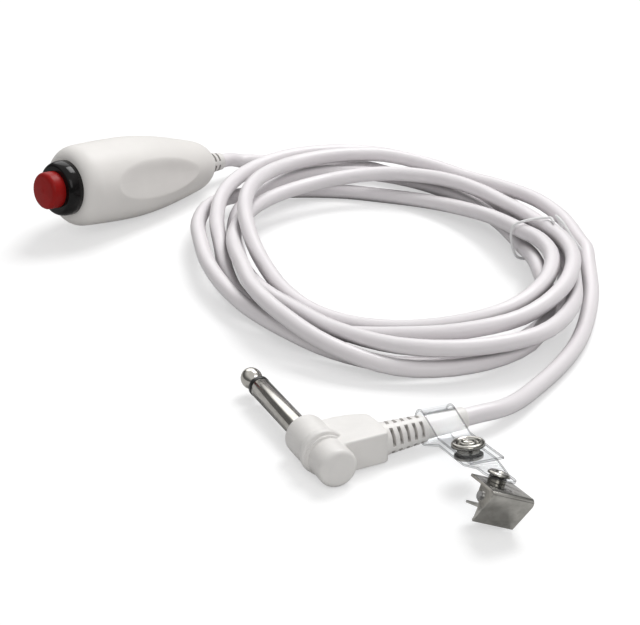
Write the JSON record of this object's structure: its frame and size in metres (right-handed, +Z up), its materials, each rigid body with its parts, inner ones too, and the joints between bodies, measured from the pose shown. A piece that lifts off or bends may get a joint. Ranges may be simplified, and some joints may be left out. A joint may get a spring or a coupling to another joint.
{
  "type": "nurse call button",
  "caption": "White pear-shaped handset with a red push button, a coiled cord, a right-angle jack plug and a sheet clip on a clear snap strap.",
  "frame": {"origin": "on the surface the handset lies on, under the middle of the handset", "axes": "+X from the button to the cord end of the handset, +Y to the left seen from the button, +Z up"},
  "size_m": [0.184, 0.249, 0.0323],
  "materials": {
    "shell_plastic": "satin moulded",
    "relief_vinyl": "satin moulded",
    "bezel_black": "polished",
    "button_red": "slightly translucent gloss",
    "switch_black": "moulded",
    "terminal_board": "laminated board",
    "plunger_white": "moulded",
    "contact_brass": "plated",
    "spring_steel": "drawn wire",
    "nut_steel": "zinc plated",
    "wire_red": "extruded",
    "cord_vinyl": "satin extruded",
    "tie_white": "extruded",
    "plug_vinyl": "satin moulded",
    "jack_nickel": "nickel plated, turned",
    "insulator_black": "moulded",
    "strap_clear": "clear flexible vinyl",
    "snap_nickel": "nickel plated, pressed",
    "clip_nickel": "nickel plated, pressed"
  },
  "bodies": {
    "handset": {"shell_near": "shell_plastic", "shell_far": "shell_plastic", "handset_boot": "relief_vinyl", "switch_bezel": "bezel_black", "switch_body": "switch_black", "switch_nut": "nut_steel", "terminal_base": "terminal_board", "terminals": "contact_brass", "return_spring": "spring_steel", "conductors": "wire_red", "cord_lead": "cord_vinyl", "cord_coil": "cord_vinyl", "cord_tail": "cord_vinyl", "twist_tie": "tie_white", "plug_housing": "plug_vinyl", "plug_collar": "plug_vinyl", "plug_boot": "plug_vinyl", "jack_sleeve": "jack_nickel", "jack_insulator": "insulator_black", "jack_tip": "jack_nickel", "plug_lug": "contact_brass", "plug_conductors": "wire_red"},
    "button": {"button_cap": "button_red", "plunger": "plunger_white", "contact_bridge": "contact_brass"},
    "strap_body": {"strap": "strap_clear", "snap_stud": "snap_nickel", "snap_post": "snap_nickel", "clip_rivet": "snap_nickel", "rivet_spacer": "snap_nickel"},
    "flap": {"strap_flap": "strap_clear", "snap_cap": "snap_nickel", "snap_socket": "snap_nickel"},
    "clip": {"clip_front_jaw": "clip_nickel", "clip_pin": "spring_steel", "clip_spring": "spring_steel"},
    "rear_jaw": {"clip_rear_jaw": "clip_nickel"}
  },
  "joints": [
    {"name": "button_press", "type": "slide", "parent": "handset", "child": "button", "axis": [0.9886, 0, -0.1505], "range_m": [0, 0.0025], "stiffness_N_per_m": 350, "springref_m": -0.003, "deforming": ["return_spring"]},
    {"name": "strap_swing", "type": "hinge", "parent": "handset", "child": "strap_body", "pos_m": [-0.04483, -0.18516, 0.0058], "axis": [-0.9455, 0.3256, 0], "range_deg": [0, 90]},
    {"name": "flap_open", "type": "hinge", "parent": "strap_body", "child": "flap", "pos_m": [-0.04535, -0.18624, 0.01056], "axis": [-0.9026, 0.4305, 0], "range_deg": [0, 60]},
    {"name": "clip_swivel", "type": "hinge", "parent": "strap_body", "child": "clip", "pos_m": [-0.06286, -0.2215, 0.01109], "axis": [0.4324, -0.0012, 0.9017], "range_deg": [-45, 45]},
    {"name": "jaw_open", "type": "hinge", "parent": "clip", "child": "rear_jaw", "pos_m": [-0.06635, -0.22582, 0.0091], "axis": [0.797, -0.4672, -0.3828], "range_deg": [0, 25], "stiffness_Nm_per_rad": 0.001, "springref_deg": -20.05}
  ]
}
